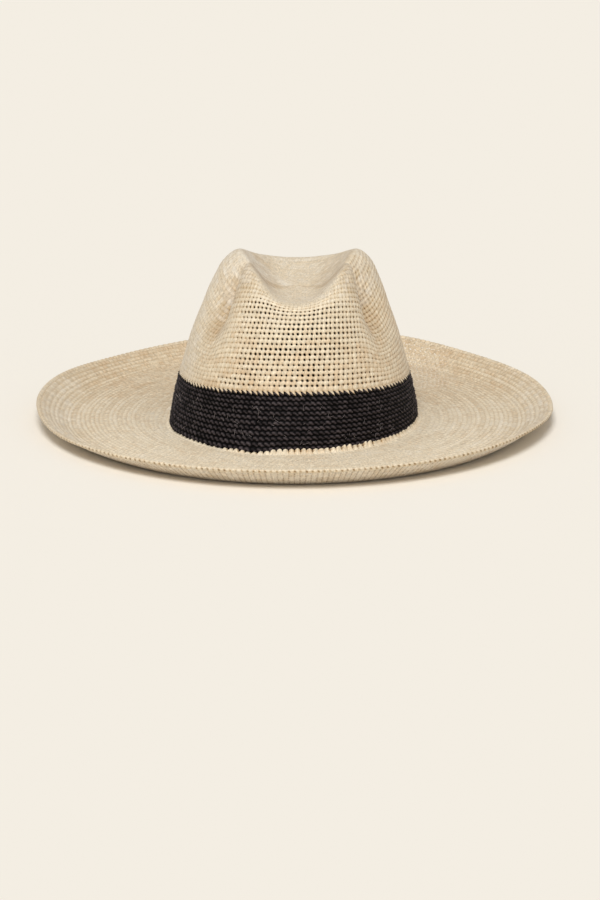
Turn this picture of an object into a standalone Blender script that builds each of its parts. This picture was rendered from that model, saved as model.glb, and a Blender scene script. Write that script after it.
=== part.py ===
"""Wide-brim hat crocheted from straw: creased and pinched crown, dark band worked
into the wall, nearly flat brim with a curled edge and a finishing round.

Metres, +Z up. The front of the hat faces -Y. The origin lies on the surface that
the brim rests on, below the middle of the head opening.
"""
import math

import bmesh
import bpy
import numpy as np

# Head opening and straw
HEAD_WIDTH = 0.168          # inside the band, ear to ear
HEAD_LENGTH = 0.199         # inside the band, brow to nape
STRAW = 0.002               # thickness of the crocheted wall
SEAM_GAP = 0.0003           # between rounds that belong to different pieces

# Crown and band
CROWN_HEIGHT = 0.122        # uncreased top above the foot of the band
BAND_FRONT = 0.037          # height of the dark band at brow and nape
BAND_SIDE = 0.030           # height of the dark band over the ears
CROWN_LEAN = 0.0028         # sideways lean of the crown top

# Crease along the top, and the two pinches at the front
CREASE_DEPTH = 0.029        # floor of the crease below the uncreased top
CREASE_WIDTH = 0.072        # widest distance between the two ridges
RIDGE_SOFTNESS = 0.0055     # rounding of the ridges
LIP_SOFTNESS = 0.0085       # rounding of the lip where the crease meets the front
PINCH_DEPTH = 0.0150        # how far a pinch goes into the wall
PINCH_DROP = 0.0105         # how far it pulls the rounds down
PINCH_PANEL_SPREAD = 10.0   # degrees over which it fades towards the front panel
PINCH_FLANK_SPREAD = 18.0   # degrees over which it fades towards the side
PINCH_SHARPNESS = 1.5       # 2 is a round valley, less is a sharper fold

# Brim
BRIM_WIDTH = 0.0945         # from the wall to the outer edge
BRIM_ARCH = 0.001           # underside at the wall above the resting ring
TURN_HEIGHT = 0.0017        # round corner from the wall to the top of the brim
COLLAR = 0.0005             # straight start of that corner below the band
CURL_WIDTH = 0.0245         # outer part of the brim that curls up
EDGE_RISE = 0.012           # underside of the edge above the resting ring
REST_WIDTH = 0.006          # flat ring that the hat rests on
EDGE_ROUND_WIDTH = 0.0032   # finishing round, along the brim
EDGE_ROUND_THICKNESS = 0.0024   # across the brim's thickness

# Fineness of the faceted solids
SEGMENTS = 72
TIP_ROWS = 3
CREASE_ROWS = 16
WALL_ROWS = 4
BAND_ROWS = 3
TURN_ROWS = 2
FLAT_ROWS = 2
CURL_ROWS = 4
EDGE_ROUND_SIDES = 6
SLOPE_STEP = 0.01           # share of a profile over which its slope is taken

# Values worked out from the sizes above
HALF_WIDTH = HEAD_WIDTH / 2 + STRAW
HALF_LENGTH = HEAD_LENGTH / 2 + STRAW
BAND_FOOT = BRIM_ARCH + STRAW + TURN_HEIGHT + SEAM_GAP
CREASE_WALL_RISE = 0.76 * CREASE_DEPTH
CREASE_WALL_POWER = 2.6
LIP_START = -0.30           # the lip's rounding grows between these places along
LIP_END = -0.72             # the crease, as shares of the half length
CREASE_START = 0.19         # the ridges and pinches lie between these shares of the
CREASE_END = 0.69           # way from the tip to the band

# Crown from the tip (along 0) to the top of the band (along 1). The radii are
# shares of the half width or half length, the rises shares of the crown's height
# above the band, each at the side, the front and the back.
CROWN_SECTIONS = (
    # along, side, side rise, front, front rise, back, back rise
    (0.000, 0.000, 1.000, 0.000, 1.000, 0.000, 1.000),
    (0.140, 0.233, 0.988, 0.202, 1.006, 0.197, 0.975),
    (0.285, 0.457, 0.964, 0.404, 0.994, 0.386, 0.908),
    (0.355, 0.547, 0.920, 0.507, 0.973, 0.479, 0.858),
    (0.425, 0.628, 0.842, 0.608, 0.913, 0.564, 0.806),
    (0.495, 0.681, 0.737, 0.700, 0.833, 0.646, 0.750),
    (0.565, 0.726, 0.634, 0.757, 0.737, 0.709, 0.682),
    (0.640, 0.764, 0.525, 0.788, 0.609, 0.748, 0.565),
    (0.770, 0.833, 0.337, 0.839, 0.388, 0.813, 0.353),
    (1.000, 0.933, 0.000, 0.926, 0.000, 0.931, 0.000),
)

# Pinches: angle from the front, then the depth and the drop as shares of
# PINCH_DEPTH and PINCH_DROP.
PINCH_SECTIONS = (
    # along, angle, depth, drop
    (0.00, 68.0, 0.00, 0.00),
    (0.20, 68.0, 0.00, 0.00),
    (0.28, 67.0, 0.16, 0.33),
    (0.355, 66.0, 0.46, 0.76),
    (0.43, 64.0, 0.90, 1.00),
    (0.50, 62.5, 1.00, 0.90),
    (0.565, 61.5, 0.96, 0.71),
    (0.64, 60.0, 0.72, 0.43),
    (0.72, 58.0, 0.38, 0.15),
    (0.82, 55.0, 0.09, 0.02),
    (0.90, 55.0, 0.00, 0.00),
    (1.00, 55.0, 0.00, 0.00),
)

# Teardrop crease from the front to the back: the place as a share of the half
# length, the width as a share of CREASE_WIDTH, and the floor's height above its
# lowest part as a share of CREASE_DEPTH.
CREASE_SECTIONS = (
    # place, width, floor
    (-0.89, 0.63, 0.400),
    (-0.78, 0.66, 0.330),
    (-0.74, 0.68, 0.270),
    (-0.67, 0.71, 0.190),
    (-0.56, 0.74, 0.100),
    (-0.45, 0.78, 0.050),
    (-0.20, 0.88, 0.000),
    (0.00, 0.95, 0.000),
    (0.30, 1.00, 0.017),
    (0.54, 0.92, 0.115),
    (0.67, 0.78, 0.240),
    (0.79, 0.64, 0.330),
)

# Height of the curled edge around the brim as shares of EDGE_RISE: the angle, in
# degrees, runs from the front over the wearer's left, which is +X.
EDGE_SECTIONS = (
    # angle, rise
    (0.0, 1.26),
    (22.5, 1.24),
    (45.0, 1.20),
    (67.5, 1.15),
    (90.0, 0.84),
    (112.5, 0.93),
    (135.0, 0.95),
    (157.5, 1.30),
    (180.0, 1.30),
    (202.5, 1.00),
    (225.0, 0.82),
    (247.5, 1.06),
    (270.0, 1.08),
    (292.5, 0.86),
    (315.0, 1.00),
    (337.5, 1.14),
    (360.0, 1.26),
)


def smooth_curve(table, column, at):
    """Cubic curve through one column of a table, with the first column as its axis."""
    rows = np.array(table)
    stations, values = rows[:, 0], rows[:, column]
    steps = np.diff(stations)
    slopes = np.diff(values) / steps
    tangents = np.empty_like(values)
    tangents[0], tangents[-1] = slopes[0], slopes[-1]
    tangents[1:-1] = (slopes[:-1] * steps[1:] + slopes[1:] * steps[:-1]) / (steps[1:] + steps[:-1])
    at = np.clip(at, stations[0], stations[-1])
    i = np.clip(np.searchsorted(stations, at, side="right") - 1, 0, len(steps) - 1)
    t = (at - stations[i]) / steps[i]
    return ((2 * t**3 - 3 * t**2 + 1) * values[i]
            + (t**3 - 2 * t**2 + t) * steps[i] * tangents[i]
            + (3 * t**2 - 2 * t**3) * values[i + 1]
            + (t**3 - t**2) * steps[i] * tangents[i + 1])


def ring_angles():
    """Angles of the columns, counted from the front towards +X."""
    return np.arange(SEGMENTS) * 2 * math.pi / SEGMENTS


def band_top_height(turn):
    """Height of the band's top edge: high at brow and nape, low over the ears."""
    return BAND_SIDE + (BAND_FRONT - BAND_SIDE) * np.cos(turn) ** 2


def block_point(turn, along):
    """Point of the smooth hat block, before the crease and the pinches."""
    ahead = np.cos(turn)
    share = 0.5 * (1 + ahead)
    share = share * share * (3 - 2 * share)
    front = smooth_curve(CROWN_SECTIONS, 3, along)
    back = smooth_curve(CROWN_SECTIONS, 5, along)
    end_column = np.where(ahead > 0, smooth_curve(CROWN_SECTIONS, 4, along),
                          smooth_curve(CROWN_SECTIONS, 6, along))
    side_rise = smooth_curve(CROWN_SECTIONS, 2, along)
    rise = side_rise + (end_column - side_rise) * ahead**2
    band_top = band_top_height(turn)
    x = HALF_WIDTH * smooth_curve(CROWN_SECTIONS, 1, along) * np.sin(turn)
    y = -HALF_LENGTH * (back + (front - back) * share) * ahead
    z = band_top + (CROWN_HEIGHT - band_top) * rise
    return x, y, z


def pinched(turn, along, point):
    """Push the two front pinches into the wall, and let the rounds sink there."""
    x, y, z = point
    signed = (turn + math.pi) % (2 * math.pi) - math.pi
    off = np.degrees(np.abs(signed)) - smooth_curve(PINCH_SECTIONS, 1, along)
    spread = np.where(off > 0, PINCH_FLANK_SPREAD, PINCH_PANEL_SPREAD)
    bell = np.exp(-np.abs(off / spread) ** PINCH_SHARPNESS)
    inward = PINCH_DEPTH * smooth_curve(PINCH_SECTIONS, 2, along) * bell
    normal_x = np.sin(turn) / HALF_WIDTH
    normal_y = -np.cos(turn) / HALF_LENGTH
    length = np.hypot(normal_x, normal_y)
    x = x - inward * normal_x / length
    y = y - inward * normal_y / length
    z = z - PINCH_DROP * smooth_curve(PINCH_SECTIONS, 3, along) * bell
    return x, y, z


def creased(point):
    """Press the teardrop crease into the top, with a soft ridge where it meets the wall."""
    x, y, z = point
    place = y / HALF_LENGTH
    half_width = 0.5 * CREASE_WIDTH * smooth_curve(CREASE_SECTIONS, 1, place)
    floor = CROWN_HEIGHT - CREASE_DEPTH * (1 - smooth_curve(CREASE_SECTIONS, 2, place))
    bowl = floor + CREASE_WALL_RISE * np.abs(x / half_width) ** CREASE_WALL_POWER
    lip = np.clip((LIP_START - place) / (LIP_START - LIP_END), 0.0, 1.0)
    softness = RIDGE_SOFTNESS + (LIP_SOFTNESS - RIDGE_SOFTNESS) * lip * lip * (3 - 2 * lip)
    z = -softness * np.logaddexp(-z / softness, -bowl / softness)
    return x, y, z


def crown_point(turn, along):
    """Outer face of the crown, which leans a little more towards the top."""
    x, y, z = creased(pinched(turn, along, block_point(turn, along)))
    x = x + CROWN_LEAN * (z / CROWN_HEIGHT) ** 3
    return np.stack([x, y, z + BAND_FOOT], axis=-1)


def band_point(turn, down):
    """Outer face of the band: it leaves the crown in line with it (down 0) and bends
    evenly to the foot (down 1)."""
    top = crown_point(turn, np.ones_like(turn))
    above = crown_point(turn, np.full_like(turn, 1 - SLOPE_STEP))
    foot = np.stack([HALF_WIDTH * np.sin(turn), -HALF_LENGTH * np.cos(turn),
                     np.full_like(turn, BAND_FOOT)], axis=-1)
    way = top - above
    way *= (np.linalg.norm(foot - top, axis=-1) / np.linalg.norm(way, axis=-1))[:, None]
    down = down[:, None]
    return top + way * down + (foot - top - way) * down**2


def along_the_wall(upper, lower, distance):
    """Point that lies a distance from the upper one on the way to the lower one."""
    way = lower - upper
    return upper + way * distance / np.linalg.norm(way, axis=-1, keepdims=True)


def wall_foot(turn):
    """Foot of the band's outer face, the way down the wall, and the wall's normal."""
    foot = band_point(turn, np.ones_like(turn))
    down = foot - band_point(turn, np.full_like(turn, 1 - SLOPE_STEP))
    down /= np.linalg.norm(down, axis=-1, keepdims=True)
    around = np.stack([HALF_WIDTH * np.cos(turn), HALF_LENGTH * np.sin(turn),
                       np.zeros_like(turn)], axis=-1)
    normal = np.cross(down, around)
    return foot, down, normal / np.linalg.norm(normal, axis=-1, keepdims=True)


def turn_rings(turn):
    """Underside of the round corner between the wall and the brim: a short collar in
    line with the band, then an arc that ends level."""
    foot, down, normal = wall_foot(turn)
    start = foot - STRAW * normal + SEAM_GAP * down
    collar = start + COLLAR * down
    lean = np.arcsin(np.hypot(down[:, 0], down[:, 1]))
    radius = (collar[:, 2] - BRIM_ARCH) / (1 - np.sin(lean))
    rings = [start, collar]
    for step in range(1, TURN_ROWS + 1):
        corner = lean + (0.5 * math.pi - lean) * step / TURN_ROWS
        out = radius * (np.cos(lean) - np.cos(corner))
        fall = radius * (np.sin(corner) - np.sin(lean))
        rings.append(collar + np.stack([out * np.sin(turn), -out * np.cos(turn), -fall], axis=-1))
    return rings


def curl_share(distance):
    """Rise of the curl at a distance from its start, as a share of the edge's rise."""
    soft_start = 0.25 * CURL_WIDTH
    full = math.hypot(CURL_WIDTH, soft_start) - soft_start
    return (math.hypot(distance, soft_start) - soft_start) / full


def brim_ring(turn, distance, height=0.0, curl=0.0):
    """Underside of the brim at a distance from the wall's inner face."""
    edge = EDGE_RISE * smooth_curve(EDGE_SECTIONS, 1, np.degrees(turn))
    x = (HALF_WIDTH - STRAW + distance) * np.sin(turn)
    y = -(HALF_LENGTH - STRAW + distance) * np.cos(turn)
    return np.stack([x, y, height + curl * edge], axis=-1)


def brim_rings(turn):
    """Underside of the brim: the turn, the nearly flat part, the ring it rests on, the curl."""
    edge = BRIM_WIDTH + STRAW - EDGE_ROUND_WIDTH - SEAM_GAP
    curl_start = BRIM_WIDTH + STRAW - CURL_WIDTH
    flat_start = 2 * TURN_HEIGHT + STRAW
    flat_width = curl_start - REST_WIDTH - flat_start
    rings = turn_rings(turn)
    for step in range(1, FLAT_ROWS + 1):
        share = step / FLAT_ROWS
        rings.append(brim_ring(turn, flat_start + flat_width * share,
                               height=BRIM_ARCH * (1 - share) ** 2))
    rings.append(brim_ring(turn, curl_start))
    for step in range(1, CURL_ROWS + 1):
        distance = (edge - curl_start) * step / CURL_ROWS
        rings.append(brim_ring(turn, curl_start + distance, curl=curl_share(distance)))
    return rings


def straw_material(name, colour, roughness):
    """Plain straw finish in linear colour."""
    material = bpy.data.materials.new(name)
    material.use_nodes = True
    shader = material.node_tree.nodes["Principled BSDF"]
    shader.inputs["Base Color"].default_value = (*colour, 1.0)
    shader.inputs["Roughness"].default_value = roughness
    shader.inputs["Metallic"].default_value = 0.0
    material.diffuse_color = (*colour, 1.0)
    return material


def ring_object(name, rings, material, pole=None, closed=False):
    """Object from rings of points, joined ring to ring with quads.

    A pole closes the first ring with a fan, and closed joins the last ring to the
    first one, as in a ring-shaped bead.
    """
    shell = bmesh.new()
    loops = [[shell.verts.new(point) for point in ring] for ring in rings]
    pairs = list(zip(loops, loops[1:]))
    if closed:
        pairs.append((loops[-1], loops[0]))
    for upper, lower in pairs:
        for i in range(SEGMENTS):
            j = (i + 1) % SEGMENTS
            shell.faces.new((upper[i], upper[j], lower[j], lower[i])[::-1])
    if pole is not None:
        tip = shell.verts.new(pole)
        for i in range(SEGMENTS):
            shell.faces.new((tip, loops[0][i], loops[0][(i + 1) % SEGMENTS]))
    mesh = bpy.data.meshes.new(name)
    shell.to_mesh(mesh)
    shell.free()
    mesh.shade_smooth()
    mesh.materials.append(material)
    piece = bpy.data.objects.new(name, mesh)
    bpy.context.scene.collection.objects.link(piece)
    return piece


def give_thickness(piece, offset):
    """Thicken an open shell by the straw: offset -1 goes inwards, 1 outwards."""
    solidify = piece.modifiers.new("straw", "SOLIDIFY")
    solidify.thickness = STRAW
    solidify.offset = offset
    solidify.use_even_offset = True
    solidify.use_quality_normals = True


def build_crown(material):
    """Tip and wall above the band."""
    turn = ring_angles()
    stations = np.concatenate([
        np.linspace(0.0, CREASE_START, TIP_ROWS + 1)[1:],
        np.linspace(CREASE_START, CREASE_END, CREASE_ROWS + 1)[1:],
        np.linspace(CREASE_END, 1.0, WALL_ROWS + 1)[1:]])
    rings = [crown_point(turn, np.full_like(turn, along)) for along in stations]
    rings[-1] = along_the_wall(rings[-1], rings[-2], SEAM_GAP / 2)
    pole = crown_point(np.zeros(1), np.zeros(1))[0]
    crown = ring_object("crown", rings, material, pole=pole)
    give_thickness(crown, -1)
    return crown


def build_band(material):
    """Dark rounds between the crown and the turn of the brim."""
    turn = ring_angles()
    rings = [band_point(turn, np.full_like(turn, row / BAND_ROWS))
             for row in range(BAND_ROWS + 1)]
    rings[0] = along_the_wall(rings[0], rings[1], SEAM_GAP / 2)
    band = ring_object("hat_band", rings, material)
    give_thickness(band, -1)
    return band


def build_brim(material):
    """Turn, flat part and curl, built from the underside upwards."""
    turn = ring_angles()
    brim = ring_object("brim", brim_rings(turn), material)
    give_thickness(brim, 1)
    return brim


def build_edge_round(material):
    """Finishing round along the edge, an oval bead in line with the curl."""
    turn = ring_angles()
    width = BRIM_WIDTH + STRAW
    inner = width - EDGE_ROUND_WIDTH
    low = brim_ring(turn, inner, curl=curl_share(inner - width + CURL_WIDTH))
    high = brim_ring(turn, width, curl=1.0)
    out = high - low
    out /= np.linalg.norm(out, axis=-1, keepdims=True)
    around = np.stack([np.cos(turn), np.sin(turn), np.zeros_like(turn)], axis=-1)
    up = np.cross(out, around)
    up /= np.linalg.norm(up, axis=-1, keepdims=True)
    middle = 0.5 * (low + high) + 0.5 * STRAW * up
    rings = []
    for side in range(EDGE_ROUND_SIDES):
        corner = -2 * math.pi * side / EDGE_ROUND_SIDES
        rings.append(middle + 0.5 * EDGE_ROUND_WIDTH * math.cos(corner) * out
                     + 0.5 * EDGE_ROUND_THICKNESS * math.sin(corner) * up)
    return ring_object("edge_round", rings, material, closed=True)


def build_hat():
    """Clear the scene and build the four pieces."""
    for item in list(bpy.data.objects):
        bpy.data.objects.remove(item)
    build_crown(straw_material("natural_straw_crown", (0.642, 0.509, 0.361), 0.75))
    build_band(straw_material("black_straw_band", (0.021, 0.017, 0.018), 0.6))
    build_brim(straw_material("natural_straw_brim", (0.638, 0.529, 0.386), 0.75))
    build_edge_round(straw_material("natural_straw_edge", (0.578, 0.470, 0.330), 0.75))


build_hat()
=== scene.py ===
import math

import bpy
import numpy as np
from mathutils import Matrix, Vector


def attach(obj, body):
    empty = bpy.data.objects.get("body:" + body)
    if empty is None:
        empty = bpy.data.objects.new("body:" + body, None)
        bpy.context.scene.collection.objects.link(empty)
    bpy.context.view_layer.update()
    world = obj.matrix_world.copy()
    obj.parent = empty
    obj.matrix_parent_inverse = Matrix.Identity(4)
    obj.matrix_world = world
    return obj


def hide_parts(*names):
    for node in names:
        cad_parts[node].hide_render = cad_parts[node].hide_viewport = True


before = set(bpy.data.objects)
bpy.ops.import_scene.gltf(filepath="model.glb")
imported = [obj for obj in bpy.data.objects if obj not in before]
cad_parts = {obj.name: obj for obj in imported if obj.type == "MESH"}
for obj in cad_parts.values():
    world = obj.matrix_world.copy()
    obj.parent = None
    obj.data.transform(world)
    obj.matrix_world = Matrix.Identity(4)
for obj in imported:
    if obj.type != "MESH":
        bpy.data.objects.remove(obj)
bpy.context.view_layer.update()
chance = np.random.default_rng(7)

# The hat block: sizes in metres, the same as in the part's source.
block = {
    "halfWidth": 0.086,         # outer face of the wall at its foot, to the side
    "halfLength": 0.1015,       # and to the front
    "straw": 0.002,             # thickness of the crochet
    "crownHeight": 0.122,
    "bandFront": 0.037,
    "bandSide": 0.030,
    "bandFoot": 0.005,          # height of the band's foot above the table
    "lean": 0.0028,
    "creaseDepth": 0.029,
    "creaseWidth": 0.072,
    "creaseRise": 0.02204,
    "creasePower": 2.6,
    "ridgeSoftness": 0.0055,
    "lipSoftness": 0.0085,      # the same at the front end of the crease
    "pinchDepth": 0.0150,
    "pinchSharpness": 1.5,      # 2 is a round valley, less is a sharper fold
    "pinchDrop": 0.0105,
    "panelSpread": 10.0,        # degrees
    "flankSpread": 18.0,
}

# along, side, side rise, front, front rise, back, back rise
crownSections = (
    (0.000, 0.000, 1.000, 0.000, 1.000, 0.000, 1.000),
    (0.140, 0.233, 0.988, 0.202, 1.006, 0.197, 0.975),
    (0.285, 0.457, 0.964, 0.404, 0.994, 0.386, 0.908),
    (0.355, 0.547, 0.920, 0.507, 0.973, 0.479, 0.858),
    (0.425, 0.628, 0.842, 0.608, 0.913, 0.564, 0.806),
    (0.495, 0.681, 0.737, 0.700, 0.833, 0.646, 0.750),
    (0.565, 0.726, 0.634, 0.757, 0.737, 0.709, 0.682),
    (0.640, 0.764, 0.525, 0.788, 0.609, 0.748, 0.565),
    (0.770, 0.833, 0.337, 0.839, 0.388, 0.813, 0.353),
    (1.000, 0.933, 0.000, 0.926, 0.000, 0.931, 0.000),
)

# along, angle, depth, drop
pinchSections = (
    (0.00, 68.0, 0.00, 0.00),
    (0.20, 68.0, 0.00, 0.00),
    (0.28, 67.0, 0.16, 0.33),
    (0.355, 66.0, 0.46, 0.76),
    (0.43, 64.0, 0.90, 1.00),
    (0.50, 62.5, 1.00, 0.90),
    (0.565, 61.5, 0.96, 0.71),
    (0.64, 60.0, 0.72, 0.43),
    (0.72, 58.0, 0.38, 0.15),
    (0.82, 55.0, 0.09, 0.02),
    (0.90, 55.0, 0.00, 0.00),
    (1.00, 55.0, 0.00, 0.00),
)

# place, width, floor
creaseSections = (
    (-0.89, 0.63, 0.400),
    (-0.78, 0.66, 0.330),
    (-0.74, 0.68, 0.270),
    (-0.67, 0.71, 0.190),
    (-0.56, 0.74, 0.100),
    (-0.45, 0.78, 0.050),
    (-0.20, 0.88, 0.000),
    (0.00, 0.95, 0.000),
    (0.30, 1.00, 0.017),
    (0.54, 0.92, 0.115),
    (0.67, 0.78, 0.240),
    (0.79, 0.64, 0.330),
)

# angle from the front towards +X in degrees, rise of the edge as a share
edgeSections = (
    (0.0, 1.26), (22.5, 1.24), (45.0, 1.20), (67.5, 1.15), (90.0, 0.84), (112.5, 0.93),
    (135.0, 0.95), (157.5, 1.30), (180.0, 1.30), (202.5, 1.00), (225.0, 0.82), (247.5, 1.06),
    (270.0, 1.08), (292.5, 0.86), (315.0, 1.00), (337.5, 1.14), (360.0, 1.26),
)


# Cubic curve through a table: a Hermite piece between each two stations, whose
# slopes are the neighbouring slopes weighted by each other's length.
def smoothCurve(table, column, at):
    rows = np.array(table)
    stations, values = rows[:, 0], rows[:, column]
    steps = np.diff(stations)
    slopes = np.diff(values) / steps
    tangents = np.concatenate([
        slopes[:1],
        (slopes[:-1] * steps[1:] + slopes[1:] * steps[:-1]) / (steps[1:] + steps[:-1]),
        slopes[-1:]])
    at = np.clip(at, stations[0], stations[-1])
    i = np.clip(np.searchsorted(stations, at, side="right") - 1, 0, len(steps) - 1)
    t = (at - stations[i]) / steps[i]
    return ((2 * t**3 - 3 * t**2 + 1) * values[i]
            + (t**3 - 2 * t**2 + t) * steps[i] * tangents[i]
            + (3 * t**2 - 2 * t**3) * values[i + 1]
            + (t**3 - t**2) * steps[i] * tangents[i + 1])


# Share from 0 to 1 between two limits, with level ends: 3t squared less 2t cubed.
def ease(low, high, value):
    t = np.clip((value - low) / (high - low), 0.0, 1.0)
    return t * t * (3 - 2 * t)


# Angle from the front, between -180 and 180 degrees, + towards +X.
def fromFront(turn):
    return np.degrees((turn + math.pi) % (2 * math.pi) - math.pi)


# Outer face of the crown: an oval block whose radii and heights come from the
# tables, a bell-shaped push inwards at each pinch, the lower of block and crease
# blended by a logarithm of exponentials, and a lean that grows with the height.
def crownPoint(turn, along):
    ahead = np.cos(turn)
    share = ease(-1.0, 1.0, ahead)
    front, back = smoothCurve(crownSections, 3, along), smoothCurve(crownSections, 5, along)
    ends = np.where(ahead > 0, smoothCurve(crownSections, 4, along),
                    smoothCurve(crownSections, 6, along))
    sideRise = smoothCurve(crownSections, 2, along)
    rise = sideRise + (ends - sideRise) * ahead**2
    bandTop = block["bandSide"] + (block["bandFront"] - block["bandSide"]) * ahead**2
    x = block["halfWidth"] * smoothCurve(crownSections, 1, along) * np.sin(turn)
    y = -block["halfLength"] * (back + (front - back) * share) * ahead
    z = bandTop + (block["crownHeight"] - bandTop) * rise

    off = np.abs(fromFront(turn)) - smoothCurve(pinchSections, 1, along)
    spread = np.where(off > 0, block["flankSpread"], block["panelSpread"])
    bell = np.exp(-np.abs(off / spread) ** block["pinchSharpness"])
    inward = block["pinchDepth"] * smoothCurve(pinchSections, 2, along) * bell
    normalX, normalY = np.sin(turn) / block["halfWidth"], -np.cos(turn) / block["halfLength"]
    length = np.hypot(normalX, normalY)
    x = x - inward * normalX / length
    y = y - inward * normalY / length
    z = z - block["pinchDrop"] * smoothCurve(pinchSections, 3, along) * bell

    place = y / block["halfLength"]
    halfCrease = 0.5 * block["creaseWidth"] * smoothCurve(creaseSections, 1, place)
    floor = block["crownHeight"] - block["creaseDepth"] * (1 - smoothCurve(creaseSections, 2, place))
    bowl = floor + block["creaseRise"] * np.abs(x / halfCrease) ** block["creasePower"]
    soft = block["ridgeSoftness"] + (block["lipSoftness"] - block["ridgeSoftness"]) * ease(
        -0.30, -0.72, place)
    z = -soft * np.logaddexp(-z / soft, -bowl / soft)
    x = x + block["lean"] * (z / block["crownHeight"]) ** 3
    return np.stack([x, y, z + block["bandFoot"]], axis=-1)


# Outer face of the band: leaves the crown in line with it at down 0 and bends
# evenly to the oval of its foot at down 1, as a parabola in the wall's plane.
def bandPoint(turn, down):
    top = crownPoint(turn, np.ones_like(turn))
    above = crownPoint(turn, np.full_like(turn, 0.99))
    foot = np.stack([block["halfWidth"] * np.sin(turn), -block["halfLength"] * np.cos(turn),
                     np.full_like(turn, block["bandFoot"])], axis=-1)
    way = top - above
    way *= (np.linalg.norm(foot - top, axis=-1) / np.linalg.norm(way, axis=-1))[..., None]
    down = down[..., None]
    return top + way * down + (foot - top - way) * down**2


# Normals of a grid that closes round its columns: the step down the rows crossed
# with the step round the columns, made one long.
def gridNormals(points):
    around = np.roll(points, -1, axis=1) - np.roll(points, 1, axis=1)
    down = np.gradient(points, axis=0)
    normals = np.cross(down, around)
    return normals / np.linalg.norm(normals, axis=-1, keepdims=True)


# Quads of a grid whose columns close; its rows close too where ring is true. The
# corners run down the rows first, then round, which turns the faces outwards.
def gridQuads(rowCount, columnCount, ring=False):
    i, j = np.meshgrid(np.arange(rowCount if ring else rowCount - 1), np.arange(columnCount),
                       indexing="ij")
    below, beside = (i + 1) % rowCount, (j + 1) % columnCount
    quads = np.stack([i * columnCount + j, below * columnCount + j,
                      below * columnCount + beside, i * columnCount + beside], axis=-1)
    return quads.reshape(-1, 4)


# Pattern coordinates of those quads, corner by corner: across counts the stitches
# of the round that the quad belongs to, down counts the rounds.
def gridPattern(down, stitchCount, phase, columnShare, ring=False):
    lower = np.roll(down, -1) if ring else down[1:]
    upper = down if ring else down[:-1]
    left, right = columnShare[:-1], columnShare[1:]
    count, phase = stitchCount[:, None], phase[:, None]
    acrossLeft, acrossRight = count * left + phase, count * right + phase
    upper = np.repeat(upper[:, None], len(left), axis=1)
    lower = np.repeat(lower[:, None], len(left), axis=1)
    corners = np.stack([np.stack([acrossLeft, upper], -1), np.stack([acrossLeft, lower], -1),
                        np.stack([acrossRight, lower], -1), np.stack([acrossRight, upper], -1)], axis=2)
    return corners.reshape(-1, 4, 2)


# Mesh object from points, quads and triangles with their pattern coordinates and
# its values per point. Points that no face uses are dropped first.
def meshObject(name, points, quads, quadPattern, triangles, trianglePattern, values, material):
    used = np.zeros(len(points), bool)
    used[quads.ravel()] = True
    used[triangles.ravel()] = True
    renumber = np.cumsum(used) - 1
    quads, triangles, points = renumber[quads], renumber[triangles], points[used]
    mesh = bpy.data.meshes.new(name)
    mesh.from_pydata(points.tolist(), [], quads.tolist() + triangles.tolist())
    pattern = np.concatenate([quadPattern.reshape(-1, 2), trianglePattern.reshape(-1, 2)])
    layer = mesh.uv_layers.new(name="pattern")
    layer.data.foreach_set("uv", pattern.astype(np.float32).ravel())
    for key, value in values.items():
        attribute = mesh.attributes.new(key, "FLOAT", "POINT")
        attribute.data.foreach_set("value", value.ravel()[used].astype(np.float32))
    mesh.shade_smooth()
    mesh.materials.append(material)
    mesh.update()
    piece = bpy.data.objects.new(name, mesh)
    bpy.context.scene.collection.objects.link(piece)
    return piece


def linear(code):
    # sRGB hex to linear: the curve is a power of 2.4 above a short straight start
    parts = [int(code[i:i + 2], 16) / 255 for i in (1, 3, 5)]
    return [c / 12.92 if c <= 0.04045 else ((c + 0.055) / 1.055) ** 2.4 for c in parts] + [1.0]


# Adds a node, sets its own properties and unlinked inputs, and links the others.
def addNode(tree, kind, settings=None, links=None):
    node = tree.nodes.new(kind)
    for key, value in (settings or {}).items():
        if isinstance(key, str) and hasattr(node, key):
            setattr(node, key, value)
        else:
            node.inputs[key].default_value = value
    for key, source in (links or {}).items():
        tree.links.new(source, node.inputs[key])
    return node


# A value that the mesh carries at its points.
def attribute(tree, name):
    return addNode(tree, "ShaderNodeAttribute", {"attribute_name": name}).outputs["Fac"]


# Straight line from one pair of limits to another, held at its ends.
def remap(tree, source, fromLow, fromHigh, toLow, toHigh):
    limits = {"From Min": fromLow, "From Max": fromHigh, "To Min": toLow, "To Max": toHigh}
    return addNode(tree, "ShaderNodeMapRange", limits, {"Value": source}).outputs[0]


# Sum, product or larger of two values, by the operation's name.
def combine(tree, operation, first, second):
    return addNode(tree, "ShaderNodeMath", {"operation": operation}, {0: first, 1: second}).outputs[0]


# Distance from the nearest whole number, 0 to 0.5.
def fromWhole(tree, source):
    return addNode(tree, "ShaderNodeMath", {"operation": "PINGPONG", 1: 0.5}, {0: source}).outputs[0]


# Mixes a fixed colour into another by a share from 0 to 1.
def tint(tree, share, source, colour, way="MIX"):
    return addNode(tree, "ShaderNodeMixRGB", {"blend_type": way, "Color2": linear(colour)},
                   {"Fac": share, "Color1": source}).outputs[0]


# Makes a colour lighter or darker: each channel times the factor.
def shaded(tree, source, factor):
    return addNode(tree, "ShaderNodeVectorMath", {"operation": "SCALE"},
                   {0: source, "Scale": factor}).outputs[0]


# Noise with so many bumps to the unit of its coordinates.
def noise(tree, source, scale, detail, roughness):
    settings = {"Scale": scale, "Detail": detail, "Roughness": roughness}
    return addNode(tree, "ShaderNodeTexNoise", settings, {"Vector": source}).outputs[0]


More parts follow.
